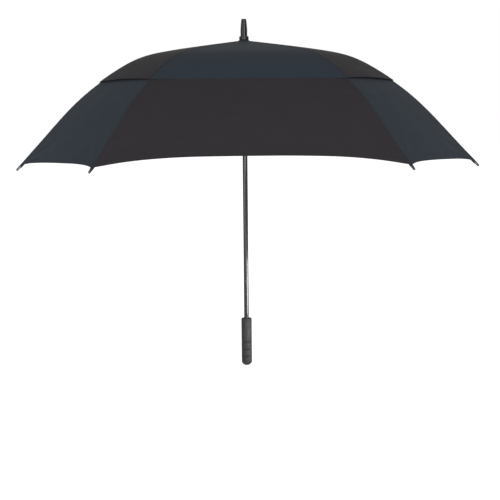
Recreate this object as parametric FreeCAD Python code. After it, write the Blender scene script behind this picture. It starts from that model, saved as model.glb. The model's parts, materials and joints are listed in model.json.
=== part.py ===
import FreeCAD, Part

# A manual golf umbrella, open, as separate parts in millimetres.
#
# +Z runs up the shaft and the origin is the middle of the handle's lowest point.
# The front of the umbrella faces -Y. Eight ribs stand in pairs either side of the
# four corners, so the canopy has four wide panels and four narrow ones, and a
# second, smaller canopy lies over a round vent in the first.
# Every rib piece is drawn in the XZ plane, with its rib running out along +X, and
# then turned about Z to its own azimuth. A reach is a distance from the shaft axis,
# measured level along a rib.

import math
import os

from FreeCAD import Vector

# Driving dimensions
canopy_radius = 679.0      # shaft axis to the end of a rib tip
shaft_radius = 7.0
shaft_wall = 0.9
handle_length = 138.0
rib_apex_height = 918.9    # where the rib line would meet the shaft axis
corner_half_angle = 12.1   # each rib stands this far either side of a corner
running_gap = 0.05         # between parts that are pressed or turn on each other
beyond = 40.0              # cutting shapes reach at least this far past the part they cut

Z = Vector(0, 0, 1)
Y = Vector(0, 1, 0)
X = Vector(1, 0, 0)

# How far a rib has dropped below its apex at each share of the canopy's radius.
rib_shape = (
    (0.00, 0.0),
    (0.12, 0.0182),
    (0.25, 0.0381),
    (0.37, 0.0587),
    (0.48, 0.0858),
    (0.60, 0.1446),
    (0.75, 0.2498),
    (0.90, 0.395),
    (1.00, 0.493),
)

# The rib linkage
ring_radius = 12.0                       # rib and stretcher pivots, from the shaft axis
knee_reach = 0.53 * canopy_radius        # where a rib's outer half starts
bracket_reach = knee_reach - 10.0        # above the stretcher's pivot
bracket_drop = 8.0                       # stretcher pivot below the rib's line
rib_radius = 1.9
stretcher_radius = 1.75
tongue_half = 0.9                        # half thickness of the flat rib and stretcher ends
slot_half = 1.15                         # half width of the slots they turn in
lug_half = 0.8                           # half thickness of the small hinge plates
ear_inner = 0.95                         # fork and knee ears, inner and outer face
ear_outer = 1.75
ear_radius = 2.4
pin_radius = 0.95
wire_radius = 0.7
tongue_nose = 2.6
tongue_length = 9.0
knee_room = 4.0                          # how far an ear's space clears the knee pivot
wire_clearance = 0.3                     # around the crown's and the runner's wire

# The canopy
fabric_end = 0.985 * canopy_radius       # lower canopy's corners, along a rib
tip_bore = 7.0                           # how far a rib's end reaches into its tip
vent_hem = 0.66 * canopy_radius          # upper canopy's hem, along a rib
lower_start = knee_reach + 6.0           # edge of the round vent, along a rib
canopy_start = 9.3                       # both canopies' middle hole, along a rib
cloth = 1.2
wide_hem_rise = 15.0                     # how far a hem's middle curves in
narrow_hem_rise = 5.5
lower_rise = 4.6                         # lower canopy's top above the rib's line
upper_rise = 7.7                         # upper canopy's top above the rib's line
seam_gap = 0.2                           # each panel stops this far from the rib's plane

corners = (-45.0, 45.0, 135.0, 225.0)
corner_names = ("front_right", "back_right", "back_left", "front_left")
sides = (-90.0, 0.0, 90.0, 180.0)
side_names = ("front", "right", "back", "left")
rib_azimuths = [c + turn for c in corners for turn in (-corner_half_angle, corner_half_angle)]
wide_half_angle = 45.0 - corner_half_angle

os.makedirs("parts", exist_ok=True)


def write(name, shape):
    """Writes one node."""
    shape.exportStep("parts/" + name + ".step")


def turned(shape, azimuth):
    """A copy of shape, turned about the shaft axis by azimuth in degrees."""
    copy = shape.copy()
    copy.rotate(Vector(0, 0, 0), Z, azimuth)
    return copy


def revolved(outline):
    """A solid of revolution about Z from (radius, height) corners."""
    points = [Vector(r, 0, z) for r, z in outline]
    face = Part.Face(Part.makePolygon(points + points[:1]))
    return face.revolve(Vector(0, 0, 0), Z, 360)


# The rib's line, from the shaft axis to the tip

def rib_curve():
    points = [
        Vector(share * canopy_radius, 0, rib_apex_height - drop * canopy_radius)
        for share, drop in rib_shape
    ]
    curve = Part.BSplineCurve()
    curve.interpolate(points)
    return curve


rib_line = rib_curve()


def rib_parameter(reach):
    """The place on the rib's line that is reach away from the shaft axis."""
    low = rib_line.FirstParameter
    high = rib_line.LastParameter
    for _ in range(50):
        middle = (low + high) / 2
        if rib_line.value(middle).x < reach:
            low = middle
        else:
            high = middle
    return low


def rib_point(reach):
    return rib_line.value(rib_parameter(reach))


def rib_direction(reach):
    """The rib's direction, pointing away from the shaft."""
    tangent = Vector(*rib_line.tangent(rib_parameter(reach))[0])
    return tangent if tangent.x > 0 else tangent * -1


crown_pivot = rib_point(ring_radius)
knee = rib_point(knee_reach)
bracket_down = rib_direction(bracket_reach).cross(Y) * -1
if bracket_down.z > 0:
    bracket_down = bracket_down * -1
stretcher_pivot = rib_point(bracket_reach) + bracket_down * bracket_drop
# The stretcher is as long as the rib's inner link, so the runner's pivot stands
# as far below the stretcher pivot as the crown's pivot stands above it.
runner_pivot = Vector(ring_radius, 0, 2 * stretcher_pivot.z - crown_pivot.z)


def rod(start, end, radius):
    """A round rod along the rib's line between two reaches, bent in arcs that meet smoothly."""
    arc_tolerance = 0.02
    stretch = rib_line.copy()
    stretch.segment(rib_parameter(start), rib_parameter(end))
    path = Part.Wire([arc.toShape() for arc in stretch.toBiArcs(arc_tolerance)])
    section = Part.Circle(rib_point(start), rib_direction(start), radius)
    return path.makePipeShell([Part.Wire(section.toShape())], True, False)


def link(start, end, radius, near, far):
    """A flat link from start to end with round ends, between y = near and y = far."""
    along = (end - start).normalize()
    across = along.cross(Y) * radius
    outline = [start + across, end + across, end - across, start - across]
    outline = [Vector(p.x, near, p.z) for p in outline]
    bar = Part.Face(Part.makePolygon(outline + outline[:1])).extrude(Y * (far - near))
    for centre in (start, end):
        foot = Vector(centre.x, near, centre.z)
        bar = bar.fuse(Part.makeCylinder(radius, far - near, foot, Y))
    return bar.removeSplitter()


def cross_hole(centre, radius, half_width=10.0):
    """A cylinder across the rib's plane, for a pin or the hole it goes in."""
    return Part.makeCylinder(radius, 2 * half_width, centre - Y * half_width, Y)


def ears(start, end):
    """A pair of ears with a space between them for a hinge plate."""
    pair = link(start, end, ear_radius, ear_inner, ear_outer)
    return pair.fuse(link(start, end, ear_radius, -ear_outer, -ear_inner))


# Ribs, stretchers and tips

def rib_inner():
    """The inner half of a rib, with its crown tongue and the bracket at its knee."""
    rod_start = ring_radius + tongue_length
    rod_end = knee_reach - knee_room
    sleeve_start = rod_end - 13.0
    sleeve_end = rod_end - 1.5
    sleeve_wall = 0.6
    ears_start = rod_end - 4.0
    ears_space = 6.0
    tongue = link(crown_pivot, rib_point(rod_start), tongue_nose, -tongue_half, tongue_half)
    shape = rod(rod_start, rod_end, rib_radius)
    sleeve = rod(sleeve_start, sleeve_end, rib_radius + sleeve_wall)
    lug = link(rib_point(bracket_reach), stretcher_pivot, ear_radius, -lug_half, lug_half)
    shape = shape.fuse([tongue, sleeve, lug, ears(rib_point(ears_start), knee)])
    outward = rib_direction(knee_reach)
    space = link(knee - outward * 0.2, knee + outward * ears_space, ear_radius + 0.5, -ear_inner, ear_inner)
    shape = shape.cut(space)
    shape = shape.cut(cross_hole(knee, pin_radius + running_gap))
    shape = shape.cut(cross_hole(stretcher_pivot, pin_radius + 2 * running_gap))
    return shape.cut(cross_hole(crown_pivot, wire_radius + wire_clearance)).removeSplitter()


def rib_outer():
    """The outer half of a rib, from the knee to inside its tip."""
    rod_start = knee_reach + 5.5
    tongue_overlap = 3.0
    shape = rod(rod_start, fabric_end + tip_bore, rib_radius)
    tongue_end = rib_point(rod_start + tongue_overlap)
    tongue = link(knee, tongue_end, ear_radius - 2 * running_gap, -lug_half, lug_half)
    trunnion = cross_hole(knee, pin_radius, ear_outer)
    return shape.fuse([tongue, trunnion]).removeSplitter()


def rib_tip():
    """The round-ended cap pressed on the end of a rib, with a collar against the canopy's corner."""
    tip_radius = 3.1
    collar_radius = 3.6
    collar_length = 2.2
    start = rib_point(fabric_end + 0.5)
    along = rib_direction(fabric_end + tip_bore)
    length = start.distanceToPoint(rib_point(canopy_radius)) - tip_radius
    bore_length = start.distanceToPoint(rib_point(fabric_end + tip_bore)) + 0.2
    cap = Part.makeCylinder(tip_radius, length, start, along)
    collar = Part.makeCylinder(collar_radius, collar_length, start, along)
    cap = cap.fuse([collar, Part.makeSphere(tip_radius, start + along * length)])
    bore = Part.makeCylinder(rib_radius + 2 * running_gap, bore_length, start, along)
    return cap.cut(bore).removeSplitter()


def stretcher():
    """The strut from the runner to a rib's bracket, with a fork at the rib's end."""
    fork_length = 9.0
    fork_overlap = 3.0
    fork_depth = 4.5
    tongue_overlap = 2.0
    along = (stretcher_pivot - runner_pivot).normalize()
    span = stretcher_pivot.distanceToPoint(runner_pivot)
    rod_start = runner_pivot + along * tongue_length
    fork_root = stretcher_pivot - along * fork_length
    shape = Part.makeCylinder(stretcher_radius, span - fork_length - tongue_length, rod_start, along)
    tongue = link(runner_pivot, rod_start + along * tongue_overlap, tongue_nose - 0.2,
                  -tongue_half, tongue_half)
    shape = shape.fuse([tongue, ears(fork_root - along * fork_overlap, stretcher_pivot)])
    space = link(stretcher_pivot - along * fork_depth, stretcher_pivot + along * 6,
                 ear_radius + 0.5, -ear_inner, ear_inner)
    shape = shape.cut(space)
    shape = shape.cut(cross_hole(stretcher_pivot, pin_radius + running_gap))
    return shape.cut(cross_hole(runner_pivot, wire_radius + wire_clearance)).removeSplitter()


def rivet():
    """The rivet that joins a stretcher's fork to a rib's bracket."""
    head_height = 0.4
    head_radius = 1.5
    shape = cross_hole(stretcher_pivot, pin_radius, ear_outer)
    for side in (-1, 1):
        foot = stretcher_pivot + Y * side * ear_outer
        shape = shape.fuse(Part.makeCylinder(head_radius, head_height, foot, Y * side))
    return shape


# Crown, runner and their wires

def wire_ring(height):
    return Part.makeTorus(ring_radius, wire_radius, Vector(0, 0, height))


def slotted(shape, height, flange_bottom):
    """shape with eight slots for rib or stretcher ends in its flange, and a groove for their wire.

    The wire lies at height. Everything below flange_bottom stays whole.
    """
    slot_depth = 3.3       # how far a slot reaches in past the wire
    above = Part.makeCylinder(beyond, beyond, Vector(0, 0, flange_bottom))
    corner = Vector(ring_radius - slot_depth, -slot_half, height - beyond / 2)
    slot = Part.makeBox(beyond, 2 * slot_half, beyond, corner)
    slots = [turned(slot, azimuth) for azimuth in rib_azimuths]
    groove = Part.makeTorus(ring_radius, wire_radius + running_gap, Vector(0, 0, height))
    flange = shape.common(above).cut(slots + [groove])
    return flange.fuse(shape.cut(above)).removeSplitter()


def crown():
    """The ring fixed near the top of the shaft, which every rib hinges on."""
    bore = shaft_radius + running_gap
    neck_radius = 8.2
    neck_length = 8.0
    flange_radius = 17.0
    chamfer = 0.8
    bottom = crown_pivot.z - 5.5
    top = crown_pivot.z + 4.0
    shape = revolved([
        (bore, bottom - neck_length),
        (neck_radius, bottom - neck_length),
        (neck_radius, bottom),
        (flange_radius, bottom),
        (flange_radius, top - chamfer),
        (flange_radius - chamfer, top),
        (bore, top),
    ])
    return slotted(shape, crown_pivot.z, bottom)


runner_bore = shaft_radius + 0.2
runner_length = 64.5
runner_top = runner_pivot.z + 4.5
runner_bottom = runner_top - runner_length


def runner():
    """The sleeve that slides on the shaft and carries the stretchers."""
    flange_bottom = runner_top - 9.0
    flange_radius = 16.5
    cone_radius = 13.5
    sleeve_radius = 11.4
    lip_radius = 14.0
    lip_chamfer = 1.0
    keyway_radius = 9.2    # the groove inside, which the catches stand in
    keyway_half = 1.7
    shape = revolved([
        (runner_bore, runner_bottom),
        (lip_radius - lip_chamfer, runner_bottom),
        (lip_radius, runner_bottom + lip_chamfer),
        (lip_radius, runner_bottom + 3.0),
        (sleeve_radius, runner_bottom + 12.0),
        (sleeve_radius, flange_bottom - 6.0),
        (cone_radius, flange_bottom),
        (flange_radius, flange_bottom),
        (flange_radius, runner_top),
        (runner_bore, runner_top),
    ])
    corner = Vector(-keyway_half, -keyway_radius, runner_bottom - 1)
    keyway = Part.makeBox(2 * keyway_half, keyway_radius, runner_length + 2, corner)
    return slotted(shape, runner_pivot.z, flange_bottom).cut(keyway)


# Shaft and the two spring catches

catch_half = 1.2           # half the width of a catch's spring strip
catch_reach = 8.9          # how far a catch's tooth stands out from the shaft axis
catch_strip = 4.4          # the spring strip's outer face, from the shaft axis
catch_pin_y = -3.0
catch_pin_radius = 0.8
catch_arm = 46.0           # pin to the tooth's ledge
tooth_length = 13.0        # the tooth's sloping back
runner_travel = 2 * (crown_pivot.distanceToPoint(stretcher_pivot)
                     - (crown_pivot.z - stretcher_pivot.z))
open_ledge = runner_bottom - 0.7
closed_ledge = runner_top - runner_travel + 1.0
catches = ((open_ledge, -1), (closed_ledge, 1))


def catch_pivot(ledge, away):
    """The middle of a catch's cross pin."""
    return Vector(0, catch_pin_y, ledge + away * catch_arm)


def catch(ledge, away):
    """A spring lever: away is +1 if its arm runs up from the ledge and -1 if it runs down."""
    strip_thickness = 1.0
    tooth_flat = 3.0
    boss_radius = 1.55
    pivot = catch_pivot(ledge, away)
    outline = [
        (-catch_strip, pivot.z),
        (-catch_strip, ledge + away * tooth_length),
        (-catch_reach, ledge + away * tooth_flat),
        (-catch_reach, ledge),
        (-catch_strip + strip_thickness, ledge),
        (-catch_strip + strip_thickness, pivot.z),
    ]
    points = [Vector(-catch_half, y, z) for y, z in outline]
    shape = Part.Face(Part.makePolygon(points + points[:1])).extrude(X * 2 * catch_half)
    start = pivot - X * catch_half
    boss = Part.makeCylinder(boss_radius, 2 * catch_half, start, X)
    hole = Part.makeCylinder(catch_pin_radius + running_gap, 2 * catch_half, start, X)
    return shape.fuse(boss).cut(hole).removeSplitter()


def catch_pin(ledge, away):
    """The cross pin a catch turns on, flush with the shaft's outside."""
    half = math.sqrt(shaft_radius ** 2 - catch_pin_y ** 2) - 0.2
    return Part.makeCylinder(catch_pin_radius, 2 * half, catch_pivot(ledge, away) - X * half, X)


def shaft():
    """The tube from inside the handle to inside the ferrule, with a window and pin hole per catch."""
    bottom = 30.0
    top = ferrule_bottom + 8.0
    window_half = 1.5
    window_depth = 10.0
    window_height = tooth_length + 2.2
    tube = Part.makeCylinder(shaft_radius, top - bottom, Vector(0, 0, bottom))
    tube = tube.cut(Part.makeCylinder(shaft_radius - shaft_wall, top - bottom, Vector(0, 0, bottom)))
    for ledge, away in catches:
        low = min(ledge - away * 1.2, ledge + away * (tooth_length + 1.0))
        corner = Vector(-window_half, -window_depth, low)
        window = Part.makeBox(2 * window_half, window_depth, window_height, corner)
        start = catch_pivot(ledge, away) - X * beyond / 2
        hole = Part.makeCylinder(catch_pin_radius + 0.01, beyond, start, X)
        tube = tube.cut([window, hole])
    return tube


# Ferrule and the cloth cap under it

ferrule_bottom = rib_apex_height + upper_rise + 1.2
ferrule_radius = 9.5
ferrule_straight_start = ferrule_bottom + 9.5
ferrule_straight_end = ferrule_straight_start + 17.0
ferrule_top = ferrule_bottom + 57.3


def ferrule():
    """The turned cap on top of the shaft: a collar and a blunt, softly tapered spike."""
    collar_radius = 13.4
    chamfer = 0.8
    waist_radius = 8.15
    waist = ferrule_bottom + 45.0
    nose_radius = 6.8
    bore = shaft_radius + running_gap
    bore_end = ferrule_bottom + 8.2
    side = [
        Vector(bore, 0, ferrule_bottom),
        Vector(collar_radius - chamfer, 0, ferrule_bottom),
        Vector(collar_radius, 0, ferrule_bottom + chamfer),
        Vector(collar_radius, 0, ferrule_straight_start - chamfer),
        Vector(collar_radius - chamfer, 0, ferrule_straight_start),
        Vector(ferrule_radius, 0, ferrule_straight_start),
        Vector(ferrule_radius, 0, ferrule_straight_end),
    ]
    nose = [
        Vector(nose_radius, 0, ferrule_top - chamfer),
        Vector(nose_radius - chamfer, 0, ferrule_top),
        Vector(0, 0, ferrule_top),
    ]
    taper = Part.Arc(side[-1], Vector(waist_radius, 0, waist), nose[0]).toShape()
    inside = [nose[-1], Vector(0, 0, bore_end), Vector(bore, 0, bore_end), side[0]]
    edges = Part.makePolygon(side).Edges + [taper]
    edges += Part.makePolygon(nose).Edges + Part.makePolygon(inside).Edges
    return Part.Face(Part.Wire(edges)).revolve(Vector(0, 0, 0), Z, 360)


def cloth_cap():
    """The small cloth cone that covers the canopy's middle, under the ferrule."""
    bore = shaft_radius + 0.15
    top_radius = 13.0
    rim_radius = 17.5
    rim_height = 1.0
    top = ferrule_bottom - 0.2
    rim = rib_apex_height + upper_rise - 2.0
    return revolved([
        (bore, top),
        (top_radius, top),
        (rim_radius, rim + rim_height),
        (rim_radius, rim),
        (rim_radius - cloth, rim),
        (top_radius - cloth / 2, top - cloth),
        (bore, top - cloth),
    ])


# Handle

def smooth(start, end, value):
    """0 at start, 1 at end, with a soft change between."""
    share = min(1.0, max(0.0, (value - start) / (end - start)))
    return share * share * (3 - 2 * share)


def handle_front(z):
    """How far the finger side stands out from the shaft axis, with its finger ridges."""
    pitch = 21.5
    first_ridge = 75.5
    ridges_end = 90.0
    ridge_height = 1.7
    swell = 12.4 + 4.6 * smooth(118.0, 60.0, z) + 2.6 * smooth(30.0, 10.0, z)
    wave = math.cos(2 * math.pi * (z - first_ridge) / pitch)
    return swell + ridge_height * wave * smooth(ridges_end, first_ridge, z)


def handle_back(z):
    """How far the palm side stands out: one long bulge."""
    return 13.2 + 6.0 * smooth(122.0, 62.0, z) - 3.2 * smooth(44.0, 6.0, z)


def handle_section(z):
    """A closed oval across the handle, rounded off near its two ends."""
    end_round = 12.0
    flat_share = 0.32
    rim = 2.2
    rim_slope = 0.7
    half_width = 15.1
    shrink = 1.0
    if z < end_round:
        shrink = math.sqrt(1 - (1 - z / end_round) ** 2 * (1 - flat_share ** 2))
    trim = max(0.0, z - handle_length + rim) * rim_slope
    front = handle_front(z) * shrink - trim
    back = handle_back(z) * shrink - trim
    oval = FreeCAD.Matrix()
    oval.scale(half_width * shrink - trim, (front + back) / 2, 1.0)
    oval.move(Vector(0, (back - front) / 2, z))
    circle = Part.Wire(Part.Circle(Vector(0, 0, 0), Z, 1.0).toShape())
    return circle.transformGeometry(oval)


def handle():
    """The moulded grip, with finger ridges on the front and a bore for the shaft."""
    bottom_sections = [0.0, 1.5, 4.0, 8.0]
    even_start = 12.0
    even_step = 4.1
    even_count = 31
    bore_start = 29.5
    heights = bottom_sections + [even_start + even_step * k for k in range(even_count)]
    heights += [handle_length - 1.2, handle_length]
    grip = Part.makeLoft([handle_section(z) for z in heights], True)
    bore = Part.makeCylinder(shaft_radius + running_gap, handle_length, Vector(0, 0, bore_start))
    return grip.cut(bore)


# Canopy panels

def sheet(half_angle, rise, half_width):
    """A curved sheet whose every cross-line is level, as cloth pulled tight between two ribs.

    It follows the rib's line, drawn in towards the panel's middle, and runs out along +X.
    """
    start = canopy_start / 2
    squeeze = FreeCAD.Matrix()
    squeeze.scale(math.cos(math.radians(half_angle)), 1.0, 1.0)
    squeeze.move(Vector(0, -half_width, rise))
    top = rib_line.toShape(rib_parameter(start), rib_line.LastParameter).transformGeometry(squeeze)
    bottom = top.translated(Z * -cloth)
    near = Part.makeLine(top.Vertexes[0].Point, bottom.Vertexes[0].Point)
    far = Part.makeLine(top.Vertexes[-1].Point, bottom.Vertexes[-1].Point)
    return Part.Face(Part.Wire([top, far, bottom, near])).extrude(Y * 2 * half_width)


def hem_line(left, right, rise):
    """A scalloped hem between two corners, flat in its middle, which is rise nearer the shaft."""
    middle = left.x - rise
    flat = 0.4
    shoulder = 0.72
    hem = Part.BezierCurve()
    hem.setPoles([
        left,
        Vector(middle + rise * 0.15, left.y * shoulder, 0),
        Vector(middle - rise * 0.2, left.y * flat, 0),
        Vector(middle - rise * 0.2, right.y * flat, 0),
        Vector(middle + rise * 0.15, right.y * shoulder, 0),
        right,
    ])
    return hem.toShape()


def plan(half_angle, start, end, hem_rise):
    """The panel seen from above, as a tall prism between two reaches."""
    angle = math.radians(half_angle)
    height = 1200.0

    def on_rib(reach, side):
        along = reach * math.cos(angle)
        across = reach * math.sin(angle) - seam_gap / math.cos(angle)
        return Vector(along, across * side, 0)

    near_left = on_rib(start, 1)
    near_right = on_rib(start, -1)
    far_left = on_rib(end, 1)
    far_right = on_rib(end, -1)
    edges = [
        Part.makeLine(far_right, near_right),
        Part.makeLine(near_right, near_left),
        Part.makeLine(near_left, far_left),
    ]
    if hem_rise:
        edges.append(hem_line(far_left, far_right, hem_rise))
    else:
        edges.append(Part.makeLine(far_left, far_right))
    return Part.Face(Part.Wire(edges)).extrude(Z * height)


def panel(half_angle, rise, start, end, hem_rise):
    """One panel, lying along +X."""
    half_width = end * math.sin(math.radians(half_angle)) + beyond / 2
    return sheet(half_angle, rise, half_width).common(plan(half_angle, start, end, hem_rise))


def write_canopy():
    """Eight lower panels with scalloped hems, and eight upper panels over the vent."""
    groups = (
        (sides, side_names, wide_half_angle, wide_hem_rise),
        (corners, corner_names, corner_half_angle, narrow_hem_rise),
    )
    for azimuths, names, half_angle, hem_rise in groups:
        lower = panel(half_angle, lower_rise, lower_start, fabric_end, hem_rise)
        upper = panel(half_angle, upper_rise, canopy_start, vent_hem, 0)
        for azimuth, name in zip(azimuths, names):
            write("lower_panel_" + name, turned(lower, azimuth))
            write("upper_panel_" + name, turned(upper, azimuth))


def write_ribs():
    pieces = (
        ("rib_inner_", rib_inner()),
        ("rib_outer_", rib_outer()),
        ("rib_tip_", rib_tip()),
        ("stretcher_", Part.makeCompound([stretcher(), rivet()])),
    )
    for name, shape in pieces:
        for number, azimuth in enumerate(rib_azimuths, start=1):
            write(name + str(number), turned(shape, azimuth))


def write_spine():
    """Everything on the shaft axis."""
    write("shaft_tube", shaft())
    write("handle_grip", handle())
    write("ferrule", ferrule())
    write("cloth_cap", cloth_cap())
    write("crown", crown())
    write("crown_wire", wire_ring(crown_pivot.z))
    write("runner", runner())
    write("runner_wire", wire_ring(runner_pivot.z))
    write("open_catch", catch(open_ledge, -1))
    write("closed_catch", catch(closed_ledge, 1))
    write("catch_pins", Part.makeCompound([catch_pin(ledge, away) for ledge, away in catches]))


write_ribs()
write_canopy()
write_spine()
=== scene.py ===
"""An open golf umbrella: a square-cut double canopy in alternating dark cloth, on its folding frame."""

import json
import math

import bpy
import numpy as np
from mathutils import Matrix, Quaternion, Vector, noise
from mathutils.bvhtree import BVHTree


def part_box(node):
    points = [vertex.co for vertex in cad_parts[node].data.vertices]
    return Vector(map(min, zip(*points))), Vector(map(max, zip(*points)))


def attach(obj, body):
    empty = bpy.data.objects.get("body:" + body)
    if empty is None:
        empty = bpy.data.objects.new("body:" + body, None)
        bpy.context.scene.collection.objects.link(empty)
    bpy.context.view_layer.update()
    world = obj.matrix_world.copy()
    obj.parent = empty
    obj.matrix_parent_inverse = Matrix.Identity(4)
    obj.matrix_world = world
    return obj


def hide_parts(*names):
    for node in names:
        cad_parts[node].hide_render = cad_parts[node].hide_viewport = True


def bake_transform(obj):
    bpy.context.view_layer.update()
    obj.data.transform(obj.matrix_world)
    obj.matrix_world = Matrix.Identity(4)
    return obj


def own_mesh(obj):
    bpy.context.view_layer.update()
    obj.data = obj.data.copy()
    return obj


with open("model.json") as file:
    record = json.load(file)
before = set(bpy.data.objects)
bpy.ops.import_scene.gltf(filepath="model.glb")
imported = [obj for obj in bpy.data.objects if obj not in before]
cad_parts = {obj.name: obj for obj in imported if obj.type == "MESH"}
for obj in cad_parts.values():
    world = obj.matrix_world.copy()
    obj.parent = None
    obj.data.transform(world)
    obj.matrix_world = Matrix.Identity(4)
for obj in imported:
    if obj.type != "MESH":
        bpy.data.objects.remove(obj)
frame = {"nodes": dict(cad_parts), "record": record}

# Driving dimensions, in metres. The shaft runs up +Z and the front faces -Y.
canopy_radius = 0.679
corner_half_angle = math.radians(12.1)
wide_half_angle = math.radians(45.0) - corner_half_angle
knee_reach = 0.53 * canopy_radius
cad_fabric_end = 0.985 * canopy_radius
fabric_end = 0.988 * canopy_radius
vent_hem = 0.66 * canopy_radius
lower_start = knee_reach + 0.006
canopy_start = 0.0093
wide_hem_rise = 0.0182
narrow_hem_rise = 0.0065
wide_keep = 0.1
narrow_keep = 0.24
cloth_thickness = 0.0006
hem_width = 0.009
seam_width = 0.005
stitch_pitch = 0.0036
rib_radius = 0.0019
lower_rise = 0.0046

UP = Vector((0, 0, 1))


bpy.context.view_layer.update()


# ---------------------------------------------------------------- materials

def new_material(name, base, roughness, metallic=0.0):
    """A Principled material, with its node tree and shader to build on."""
    mat = bpy.data.materials.new(name)
    mat.use_nodes = True
    tree = mat.node_tree
    shader = tree.nodes["Principled BSDF"]
    shader.inputs["Base Color"].default_value = (*base, 1.0)
    shader.inputs["Roughness"].default_value = roughness
    shader.inputs["Metallic"].default_value = metallic
    return mat, tree, shader


def add_node(tree, kind, **values):
    node = tree.nodes.new(kind)
    for key, value in values.items():
        if key in node.inputs:
            node.inputs[key].default_value = value
        else:
            setattr(node, key, value)
    return node


def add_bump(tree, shader, height, strength, distance):
    bump = add_node(tree, "ShaderNodeBump", Strength=strength, Distance=distance)
    tree.links.new(height, bump.inputs["Height"])
    tree.links.new(bump.outputs["Normal"], shader.inputs["Normal"])
    return bump


def cloth_material(name, base):
    """Pongee: a fine plain weave with a soft sheen and slightly uneven dye."""
    mat, tree, shader = new_material(name, base, 0.6)
    shader.inputs["Sheen Weight"].default_value = 0.02
    shader.inputs["Sheen Roughness"].default_value = 0.45
    shader.inputs["Specular IOR Level"].default_value = 0.06
    uv = add_node(tree, "ShaderNodeUVMap", uv_map="cloth")
    threads = 1 / 0.0011
    band_spacing = 6.283
    height = None
    for turn in ("X", "Y"):
        wave = add_node(tree, "ShaderNodeTexWave", bands_direction=turn, wave_profile="SIN")
        wave.inputs["Scale"].default_value = threads / band_spacing
        wave.inputs["Distortion"].default_value = 0.4
        tree.links.new(uv.outputs["UV"], wave.inputs["Vector"])
        if height is None:
            height = wave.outputs["Fac"]
        else:
            mix = add_node(tree, "ShaderNodeMath", operation="MAXIMUM")
            tree.links.new(height, mix.inputs[0])
            tree.links.new(wave.outputs["Fac"], mix.inputs[1])
            height = mix.outputs[0]
    add_bump(tree, shader, height, 0.25, 0.0002)
    mottle = add_node(tree, "ShaderNodeTexNoise", Scale=14.0, Detail=3.0)
    ramp = add_node(tree, "ShaderNodeMapRange")
    ramp.inputs["To Min"].default_value = 0.92
    ramp.inputs["To Max"].default_value = 1.08
    tone = add_node(tree, "ShaderNodeHueSaturation")
    tone.inputs["Color"].default_value = (*base, 1.0)
    tree.links.new(mottle.outputs["Fac"], ramp.inputs["Value"])
    tree.links.new(ramp.outputs["Result"], tone.inputs["Value"])
    tree.links.new(tone.outputs["Color"], shader.inputs["Base Color"])
    return mat


def gloss_paint(name, base):
    """Black lacquer on the steel shaft, with a faint drawn grain."""
    mat, tree, shader = new_material(name, base, 0.16)
    shader.inputs["Coat Weight"].default_value = 0.6
    shader.inputs["Coat Roughness"].default_value = 0.06
    place = add_node(tree, "ShaderNodeTexCoord")
    stretch = add_node(tree, "ShaderNodeMapping")
    stretch.inputs["Scale"].default_value = (900.0, 900.0, 12.0)
    grain = add_node(tree, "ShaderNodeTexNoise", Scale=1.0, Detail=4.0)
    tree.links.new(place.outputs["Object"], stretch.inputs["Vector"])
    tree.links.new(stretch.outputs["Vector"], grain.inputs["Vector"])
    add_bump(tree, shader, grain.outputs["Fac"], 0.08, 0.0001)
    return mat


def pebbled_rubber(name, base):
    """The grip's moulded pebble grain."""
    mat, tree, shader = new_material(name, base, 0.48)
    place = add_node(tree, "ShaderNodeTexCoord")
    pebbles = add_node(tree, "ShaderNodeTexVoronoi", Scale=520.0, feature="SMOOTH_F1")
    tree.links.new(place.outputs["Object"], pebbles.inputs["Vector"])
    add_bump(tree, shader, pebbles.outputs["Distance"], 1.0, 0.0012)
    return mat


def satin_metal(name, base, roughness, metallic=1.0):
    """Plated or blackened metal with fine random scratches."""
    mat, tree, shader = new_material(name, base, roughness, metallic)
    place = add_node(tree, "ShaderNodeTexCoord")
    scratch = add_node(tree, "ShaderNodeTexNoise", Scale=2400.0, Detail=5.0)
    tree.links.new(place.outputs["Object"], scratch.inputs["Vector"])
    add_bump(tree, shader, scratch.outputs["Fac"], 0.1, 0.00008)
    return mat


def moulded_plastic(name, base):
    mat, tree, shader = new_material(name, base, 0.42)
    place = add_node(tree, "ShaderNodeTexCoord")
    grain = add_node(tree, "ShaderNodeTexNoise", Scale=1500.0, Detail=2.0)
    tree.links.new(place.outputs["Object"], grain.inputs["Vector"])
    add_bump(tree, shader, grain.outputs["Fac"], 0.15, 0.0001)
    return mat


navy = cloth_material("cloth_navy", (0.0225, 0.0293, 0.0385))
black = cloth_material("cloth_black", (0.0245, 0.0222, 0.0248))
thread = moulded_plastic("thread", (0.02, 0.02, 0.022))
finishes = {
    "cloth_navy": navy,
    "cloth_black": black,
    "shaft_finish": gloss_paint("shaft_finish", (0.008, 0.008, 0.009)),
    "grip_rubber": pebbled_rubber("grip_rubber", (0.017, 0.017, 0.018)),
    "ferrule_finish": satin_metal("ferrule_finish", (0.025, 0.025, 0.027), 0.2, 0.8),
    "hub_plastic": moulded_plastic("hub_plastic", (0.015, 0.015, 0.016)),
    "rib_fibreglass": moulded_plastic("rib_fibreglass", (0.016, 0.016, 0.017)),
    "stretcher_steel": satin_metal("stretcher_steel", (0.03, 0.03, 0.032), 0.35, 0.6),
    "tip_metal": satin_metal("tip_metal", (0.12, 0.12, 0.125), 0.3),
    "bright_steel": satin_metal("bright_steel", (0.18, 0.18, 0.19), 0.32),
}

for part in frame["record"]["subparts"]:
    mesh = frame["nodes"][part["node"]].data
    mesh.materials.clear()
    mesh.materials.append(finishes[part["material_slot"]])


# ---------------------------------------------------------------- cloth

def smooth_step(start, end, value):
    share = min(1.0, max(0.0, (value - start) / (end - start)))
    return share * share * (3 - 2 * share)


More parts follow.
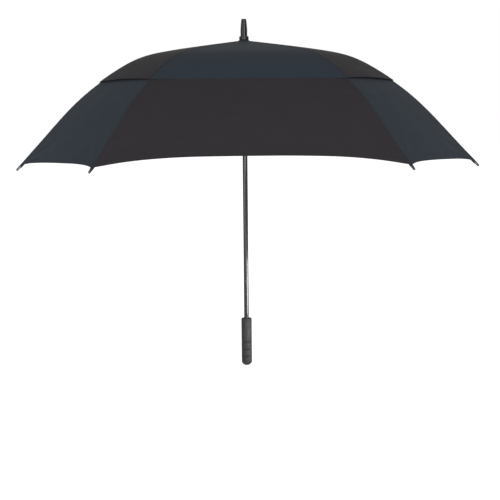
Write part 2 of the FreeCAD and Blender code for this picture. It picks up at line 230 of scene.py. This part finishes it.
class Panel:
    """One of the eight sectors between two neighbouring ribs."""

    def __init__(self, name, azimuth, half_angle, keep, wide):
        self.name = name
        self.half_angle = half_angle
        self.keep = keep
        self.wide = wide
        self.hem_rise = wide_hem_rise if wide else narrow_hem_rise
        self.hem_power = 3.4 if wide else 6.0
        self.out = Vector((math.cos(azimuth), math.sin(azimuth), 0))
        self.across = Vector((-math.sin(azimuth), math.cos(azimuth), 0))
        self.lower_line = self.sample("lower_panel_" + name, lower_start + 0.001, cad_fabric_end - 0.021)
        self.upper_line = self.sample("upper_panel_" + name, canopy_start + 0.001, vent_hem - 0.001)

    def sample(self, node, start, end):
        """The CAD panel's height along its middle line, as (distances, heights)."""
        mesh = frame["nodes"][node].data
        corners = [v.co for v in mesh.vertices]
        tree = BVHTree.FromPolygons(corners, [p.vertices for p in mesh.polygons])
        shrink = math.cos(self.half_angle)
        distances = np.linspace(start * shrink, end * shrink, 120)
        heights = [tree.ray_cast(self.out * d + UP * 2, -UP)[0].z for d in distances]
        slope = (heights[-1] - heights[-2]) / (distances[-1] - distances[-2])
        distances = np.append(distances, distances[-1] + 0.05)
        heights = np.append(heights, heights[-1] + slope * 0.05)
        return distances, heights

    def surface(self, upper, reach, share, lift=0.0):
        """A point on the cloth: reach is along the ribs, share runs -1 to 1 from rib to rib."""
        line = self.upper_line if upper else self.lower_line
        distance = reach * math.cos(self.half_angle)
        across = share * reach * math.sin(self.half_angle)
        if not upper:
            end = fabric_end * math.cos(self.half_angle)
            begin = lower_start * math.cos(self.half_angle)
            scallop = 1 - abs(share) ** self.hem_power
            pulled = self.hem_rise * scallop * ((distance - begin) / (end - begin)) ** 3
            distance -= pulled
        step = 0.004
        z = float(np.interp(distance, *line))
        ahead = float(np.interp(distance + step, *line))
        behind = float(np.interp(distance - step, *line))
        slope = (ahead - behind) / (2 * step)
        normal = (UP - self.out * slope).normalized()
        tight = self.out * distance + self.across * across + UP * z
        return tight + normal * (lift + self.relief(upper, reach, share))

    def relief(self, upper, reach, share):
        """How far the cloth stands off a perfectly tight sheet."""
        pillow_height = 0.003
        drift_height = 0.0006
        wide_lip = -0.0024
        narrow_lip = 0.0022
        lip_width = 0.07
        grow = reach / fabric_end
        slack = 1 - share * share
        pillow = pillow_height * slack * grow
        place = Vector((share * 4.0 * grow, reach * 8.0, self.half_angle * 50))
        drift = drift_height * noise.noise(place) * (1 - share ** 4)
        near_hem = smooth_step(vent_hem - lip_width, vent_hem, reach) if upper else 0.0
        lip = wide_lip * (1 - share ** 8) if self.wide else narrow_lip * slack
        return pillow + drift + lip * near_hem + self.tip_folds(reach, share)

    def tip_folds(self, reach, share):
        """Soft folds that fan out from the two corners, where the ribs pull the cloth tight."""
        fold_height = 0.0007
        fold_count = 11
        fold_reach = 0.07
        inward = fabric_end - reach
        aside = (1 - abs(share)) * reach * math.sin(self.half_angle)
        away = math.hypot(inward, aside)
        fan = math.cos(fold_count * math.atan2(aside, inward + 0.004))
        rise = smooth_step(0.0, 0.02, away) * math.exp(-(away / fold_reach) ** 2)
        return fold_height * fan * rise * smooth_step(0.0, 0.008, aside)


class Cloth:
    """Collects sheets and stitches into one mesh, with a UV map in metres."""

    def __init__(self):
        self.vertices = []
        self.uvs = []
        self.faces = []
        self.finish = []

    def add_sheet(self, rows, columns, point, uv, finish=0):
        """A sheet of rows x columns points; point and uv take a share 0 to 1 and a share -1 to 1."""
        first = len(self.vertices)
        for i in range(rows):
            for j in range(columns):
                along = i / (rows - 1)
                across = 2 * j / (columns - 1) - 1
                self.vertices.append(point(along, across))
                self.uvs.append(uv(along, across))
        for i in range(rows - 1):
            for j in range(columns - 1):
                a = first + i * columns + j
                self.faces.append((a, a + columns, a + columns + 1, a + 1))
                self.finish.append(finish)

    def add_stitch(self, start, end, radius, finish=1):
        """One stitch: a slim six-cornered grain of thread from start to end."""
        first = len(self.vertices)
        along = (end - start).normalized()
        side = along.orthogonal().normalized() * radius
        other = along.cross(side)
        middle = (start + end) / 2
        self.vertices += [start, end, middle + side, middle + other, middle - side, middle - other]
        self.uvs += [(0.0, 0.0)] * 6
        for k in range(4):
            a = first + 2 + k
            b = first + 2 + (k + 1) % 4
            self.faces += [(first, b, a), (first + 1, a, b)]
            self.finish += [finish, finish]

    def add_stitches(self, path, radius=0.0003):
        """A row of stitches along a path of points."""
        gone = 0.0
        for start, end in zip(path, path[1:]):
            length = (end - start).length
            while gone < length:
                share = gone / length
                a = start.lerp(end, share)
                b = start.lerp(end, min(1.0, share + 0.62 * stitch_pitch / length))
                if (b - a).length > stitch_pitch * 0.2:
                    self.add_stitch(a, b, radius)
                gone += stitch_pitch
            gone -= length

    def make(self, name, finishes_used):
        mesh = bpy.data.meshes.new(name)
        mesh.from_pydata(self.vertices, [], self.faces)
        layer = mesh.uv_layers.new(name="cloth")
        for loop in mesh.loops:
            layer.data[loop.index].uv = self.uvs[loop.vertex_index]
        for finish in finishes_used:
            mesh.materials.append(finish)
        mesh.polygons.foreach_set("material_index", self.finish)
        mesh.shade_smooth()
        sharpen_borders(mesh)
        obj = bpy.data.objects.new(name, mesh)
        bpy.context.scene.collection.objects.link(obj)
        return obj


def sharpen_borders(mesh):
    """Keeps a sheet's cut edges from rounding the shading of its face."""
    count = np.zeros(len(mesh.edges), dtype=int)
    for polygon in mesh.polygons:
        for loop in polygon.loop_indices:
            count[mesh.loops[loop].edge_index] += 1
    mesh.edges.foreach_set("use_edge_sharp", count == 1)


def thicken(obj, thickness, offset=-1.0):
    solid = obj.modifiers.new("thickness", "SOLIDIFY")
    solid.thickness = thickness
    solid.offset = offset


def hang(obj, panel, half, node=None):
    """Hangs cloth on the panel's inner or outer half, so that it moves with that half as the umbrella
    closes.
    """
    if node:
        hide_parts(node)
    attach(obj, f"panel_{panel.name}_{half}")
    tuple(panel.across)
    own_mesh(obj)


def panel_sheet(cloth, panel, upper, start, end, rows, columns, lift=0.0):
    def point(i, share):
        return panel.surface(upper, start + (end - start) * i, share, lift)

    def uv(i, share):
        reach = start + (end - start) * i
        return reach, share * reach * math.sin(panel.half_angle)

    cloth.add_sheet(rows, columns, point, uv)


def make_sheet(name, panel, upper, start, end, rows, columns, half, colour, node=None):
    cloth = Cloth()
    panel_sheet(cloth, panel, upper, start, end, rows, columns)
    obj = cloth.make(name + panel.name, [finishes[colour]])
    thicken(obj, cloth_thickness)
    hang(obj, panel, half, node)


def make_hem(name, panel, upper, end, columns, colour):
    """The turned-over edge, a little proud of the sheet, with two rows of stitching."""
    cloth = Cloth()
    panel_sheet(cloth, panel, upper, end - hem_width, end, 4, columns, 0.0003)
    fine = columns * 4
    for inset in (0.0016, hem_width - 0.0014):
        shares = [2 * k / fine - 1 for k in range(fine + 1)]
        cloth.add_stitches([panel.surface(upper, end - inset, s * 0.985, 0.0004) for s in shares])
    obj = cloth.make(name + panel.name, [finishes[colour], thread])
    thicken(obj, cloth_thickness + 0.0002)
    hang(obj, panel, "outer")


def make_panel_cloth(panel):
    lower = "cloth_black" if panel.wide else "cloth_navy"
    upper = "cloth_navy" if panel.wide else "cloth_black"
    columns = 91 if panel.wide else 45
    make_sheet("lower_cloth_", panel, False, lower_start, fabric_end, 60, columns, "outer", lower,
               "lower_panel_" + panel.name)
    make_sheet("vent_cloth_inner_", panel, True, canopy_start, knee_reach, 60, columns, "inner", upper,
               "upper_panel_" + panel.name)
    make_sheet("vent_cloth_outer_", panel, True, knee_reach, vent_hem, 24, columns, "outer", upper)
    make_hem("lower_hem_", panel, False, fabric_end, columns, lower)
    make_hem("vent_hem_", panel, True, vent_hem, columns, upper)


side_names = ("right", "back", "left", "front")
corner_names = ("back_right", "back_left", "front_left", "front_right")
panels = []
for quarter in range(4):
    right_angle = math.radians(90 * quarter)
    corner_angle = right_angle + math.radians(45)
    panels.append(Panel(side_names[quarter], right_angle, wide_half_angle, wide_keep, True))
    panels.append(Panel(corner_names[quarter], corner_angle, corner_half_angle, narrow_keep, False))
for panel in panels:
    make_panel_cloth(panel)


class Rib:
    """A rib's seam, between the panel on its right-hand side and the one on its left."""

    def __init__(self, number, azimuth, right, left):
        self.number = number
        self.out = Vector((math.cos(azimuth), math.sin(azimuth), 0))
        self.across = Vector((-math.sin(azimuth), math.cos(azimuth), 0))
        self.right = right
        self.left = left

    def on_cloth(self, upper, reach, aside, lift):
        """A point on the cloth beside the rib, aside metres to its left."""
        panel = self.left if aside > 0 else self.right
        plan = self.out * reach + self.across * aside
        distance = plan.dot(panel.out)
        along_rib = distance / math.cos(panel.half_angle)
        share = plan.dot(panel.across) / (along_rib * math.sin(panel.half_angle))
        return panel.surface(upper, along_rib, max(-1.0, min(1.0, share)), lift)


def seam_strip(cloth, rib, upper, start, end, width, crown, lift):
    """A strip lying along the seam, crown metres thicker in its middle."""

    def point(i, share):
        rounding = crown * (1 - share * share)
        return rib.on_cloth(upper, start + (end - start) * i, share * width / 2, lift + rounding)

    def uv(i, share):
        return start + (end - start) * i, share * width / 2

    rows = max(12, int((end - start) / 0.008))
    cloth.add_sheet(rows, 7, point, uv)


def make_seam(name, rib, upper, start, end, colour):
    """The felled seam over a rib, with a row of stitches on each side, and its allowance underneath."""
    allowance_width = 0.013
    cloth = Cloth()
    seam_strip(cloth, rib, upper, start, end, seam_width, 0.0003, 0.0002)
    seam_strip(cloth, rib, upper, start, end, allowance_width, 0.0, -cloth_thickness - 0.0004)
    steps = int((end - start) / 0.01)
    for aside in (-seam_width * 0.36, seam_width * 0.36):
        reaches = [start + (end - start) * k / steps for k in range(steps + 1)]
        cloth.add_stitches([rib.on_cloth(upper, reach, aside, 0.0005) for reach in reaches], 0.00025)
    obj = cloth.make(f"{name}{rib.number}", [finishes[colour], thread])
    thicken(obj, 0.0005)
    return obj


def make_rib_cloth(rib):
    lower = make_seam("lower_seam_", rib, False, lower_start, fabric_end - 0.002, "cloth_navy")
    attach(lower, f"rib_end_{rib.number}")
    upper = make_seam("vent_seam_", rib, True, canopy_start + 0.01, vent_hem, "cloth_black")
    knee = rib.on_cloth(True, knee_reach, 0.0, 0.0)
    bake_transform(upper)
    make_ties(rib)
    make_pocket(rib)


def tube(cloth, path, rings, radius, finish=0):
    """A closed tube along a path of points, with a set number of corners round it."""
    def point(i, share):
        k = round(i * (len(path) - 1))
        before = path[max(0, k - 1)]
        after = path[min(len(path) - 1, k + 1)]
        along = (after - before).normalized()
        side = along.orthogonal().normalized()
        angle = math.pi * (share + 1)
        return path[k] + (side * math.cos(angle) + along.cross(side) * math.sin(angle)) * radius(i)

    cloth.add_sheet(len(path), rings + 1, point, lambda i, share: (i, share), finish)


def on_rib_line(rib, reach, drop):
    """A point drop metres under the lower cloth's face, square to it, over the rib."""
    ahead = rib.on_cloth(False, reach + 0.002, 0.0, 0.0)
    behind = rib.on_cloth(False, reach - 0.002, 0.0, 0.0)
    along = (ahead - behind).normalized()
    down = along.cross(rib.across)
    if down.z > 0:
        down = -down
    return rib.on_cloth(False, reach, 0.0, 0.0) + down * drop, along, down


def make_ties(rib):
    """Thread ties that hold the cloth's seam to the rib, each a few turns round the rod."""
    cloth = Cloth()
    turns = 3
    corners = 14
    for reach in (0.60 * canopy_radius, 0.74 * canopy_radius, 0.88 * canopy_radius):
        centre, along, down = on_rib_line(rib, reach, tie_drop(rib, reach))
        path = []
        for k in range(turns * corners + 1):
            angle = 2 * math.pi * k / corners
            shift = along * 0.0011 * (k / corners - turns / 2)
            stretch = 1.35 if math.cos(angle) < 0 else 1.0
            round_rod = down * math.cos(angle) * stretch + rib.across * math.sin(angle)
            path.append(centre + shift + round_rod * (rib_radius + 0.0005))
        tube(cloth, path, 6, lambda i: 0.0004)
    obj = cloth.make(f"rib_ties_{rib.number}", [thread])
    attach(obj, f"rib_end_{rib.number}")


def tie_drop(rib, reach):
    """How far the rod's middle lies under the cloth's face, square to it."""
    step = 0.002
    rise = rib.on_cloth(False, reach - step, 0.0, 0.0).z - rib.on_cloth(False, reach + step, 0.0, 0.0).z
    slope = math.atan2(rise, 2 * step)
    return lower_rise * math.cos(slope)


def make_pocket(rib):
    """The stitched cloth pocket at the canopy's corner that the rib's end sits in."""
    cloth = Cloth()
    length = 0.026
    rows = 14
    columns = 13
    half_width = 0.0062

    def point(i, share):
        reach = fabric_end - length * (1 - i)
        aside = half_width * (1 - 0.35 * i) * share
        _, along, down = on_rib_line(rib, reach, 0.0)
        belly = (tie_drop(rib, reach) + rib_radius + 0.0004) * (1 - share ** 2) ** 0.6
        return rib.on_cloth(False, reach, aside, -cloth_thickness - 0.0009) + down * belly

    cloth.add_sheet(rows, columns, point, lambda i, share: (i * length, share * half_width))
    mouth = [point(0.06, share / 10) for share in range(-10, 11)]
    cloth.add_stitches([p + UP * -0.0003 for p in mouth], 0.0003)
    obj = cloth.make(f"tip_pocket_{rib.number}", [finishes["cloth_navy"], thread])
    thicken(obj, 0.0005, 1.0)
    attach(obj, f"rib_end_{rib.number}")


def make_cap():
    """The canopy's small cloth cap, gathered in soft pleats under the ferrule."""
    cloth = Cloth()
    low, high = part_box("cloth_cap")
    pleats = 16
    top_radius = 0.0132
    rim_radius = high[0] - 0.0002
    bottom = low[2]
    top = high[2]

    def point(i, share):
        angle = math.pi * (share + 1)
        flare = i ** 1.2
        radius = top_radius + (rim_radius - top_radius) * flare
        pleat = 0.0005 * i * math.cos(pleats * angle)
        z = top - (top - bottom) * (i ** 0.8)
        return Vector((math.cos(angle) * (radius + pleat), math.sin(angle) * (radius + pleat), z))

    cloth.add_sheet(18, 129, point, lambda i, share: (i * 0.01, share * 0.05))
    rim = [point(0.9, k / 100 - 1) + UP * 0.0004 for k in range(201)]
    cloth.add_stitches(rim, 0.00025)
    obj = cloth.make("cap_cloth", [finishes["cloth_navy"], thread])
    thicken(obj, 0.0006)
    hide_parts("cloth_cap")
    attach(obj, "shaft")


def make_ribs():
    corner_first = [panels[(2 * quarter + 7) % 8] for quarter in range(4)]
    for pair in range(4):
        corner = corner_first[pair]
        middle = math.radians(-45 + 90 * pair)
        right = panels[(panels.index(corner) - 1) % 8]
        left = panels[(panels.index(corner) + 1) % 8]
        make_rib_cloth(Rib(2 * pair + 1, middle - corner_half_angle, right, corner))
        make_rib_cloth(Rib(2 * pair + 2, middle + corner_half_angle, corner, left))


make_ribs()
make_cap()


# ---------------------------------------------------------------- studio

def add_area_light(name, location, target, size, power):
    data = bpy.data.lights.new(name, "AREA")
    data.shape = "RECTANGLE"
    data.size, data.size_y = size
    data.energy = power
    light = bpy.data.objects.new(name, data)
    light.location = location
    light.rotation_euler = (Vector(target) - Vector(location)).to_track_quat("-Z", "Y").to_euler()
    bpy.context.scene.collection.objects.link(light)


def floor_material():
    """Plain and near white from above, with soft shade, and clear from below to show the underside."""
    mat, tree, shader = new_material("floor", (0.96, 0.96, 0.96), 0.9)
    shader.inputs["Specular IOR Level"].default_value = 0.0
    side = add_node(tree, "ShaderNodeNewGeometry")
    clear = add_node(tree, "ShaderNodeBsdfTransparent")
    ray = add_node(tree, "ShaderNodeLightPath")
    glow = add_node(tree, "ShaderNodeMath", operation="MULTIPLY")
    glow.inputs[1].default_value = 0.75
    tree.links.new(ray.outputs["Is Camera Ray"], glow.inputs[0])
    shader.inputs["Emission Color"].default_value = (1, 1, 1, 1)
    tree.links.new(glow.outputs["Value"], shader.inputs["Emission Strength"])
    mix = add_node(tree, "ShaderNodeMixShader")
    tree.links.new(side.outputs["Backfacing"], mix.inputs[0])
    tree.links.new(shader.outputs["BSDF"], mix.inputs[1])
    tree.links.new(clear.outputs["BSDF"], mix.inputs[2])
    tree.links.new(mix.outputs["Shader"], tree.nodes["Material Output"].inputs["Surface"])
    return mat


def make_world():
    """White behind the object, and softer all round it than the camera sees."""
    world = bpy.data.worlds.new("studio")
    world.use_nodes = True
    tree = world.node_tree
    around = tree.nodes["Background"]
    around.inputs["Color"].default_value = (1, 1, 1, 1)
    around.inputs["Strength"].default_value = 0.4
    behind = add_node(tree, "ShaderNodeBackground", Strength=1.0)
    behind.inputs["Color"].default_value = (1, 1, 1, 1)
    ray = add_node(tree, "ShaderNodeLightPath")
    mix = add_node(tree, "ShaderNodeMixShader")
    tree.links.new(ray.outputs["Is Camera Ray"], mix.inputs[0])
    tree.links.new(around.outputs["Background"], mix.inputs[1])
    tree.links.new(behind.outputs["Background"], mix.inputs[2])
    tree.links.new(mix.outputs["Shader"], tree.nodes["World Output"].inputs["Surface"])
    return world


def make_studio():
    bpy.context.scene.view_settings.view_transform = "Standard"
    bpy.context.scene.world = make_world()
    side = 30.0
    mesh = bpy.data.meshes.new("floor")
    corners = [(-side, -side, 0), (side, -side, 0), (side, side, 0), (-side, side, 0)]
    mesh.from_pydata(corners, [], [(0, 1, 2, 3)])
    floor = bpy.data.objects.new("floor", mesh)
    floor.location.z = -0.002
    mesh.materials.append(floor_material())
    bpy.context.scene.collection.objects.link(floor)
    add_area_light("key", (0.9, -3.4, 1.6), (0, 0, 0.6), (2.5, 2.5), 80)
    add_area_light("fill", (-2.4, -2.8, 1.0), (0, 0, 0.6), (2.5, 2.5), 45)
    for side in (-1, 1):
        add_area_light("back", (2.6 * side, 2.6, 1.6), (0, 0, 0.6), (2.0, 2.0), 12)
    add_area_light("shaft_strip", (0.58, -0.38, 0.12), (0, 0, 0.12), (0.36, 0.2), 4)


def make_camera():
    """The camera stands in front at the height of the canopy's hem, looking slightly down."""
    distance = 2.8
    aim_height = 0.3358
    aim_aside = 0.0118
    turn = math.radians(1.96)
    pitch = math.radians(7.0)
    roll = math.radians(0.5)
    data = bpy.data.cameras.new("camera")
    data.sensor_width = 36.0
    data.lens = 70.23
    camera = bpy.data.objects.new("camera", data)
    forward = Vector((math.sin(turn) * math.cos(pitch), math.cos(turn) * math.cos(pitch), -math.sin(pitch)))
    right = Vector((math.cos(turn), -math.sin(turn), 0))
    camera.location = UP * aim_height + right * aim_aside - forward * distance
    camera.rotation_mode = "QUATERNION"
    camera.rotation_quaternion = forward.to_track_quat("-Z", "Y") @ Quaternion((0, 0, 1), -roll)
    bpy.context.scene.collection.objects.link(camera)
    bpy.context.scene.camera = camera


make_studio()
make_camera()
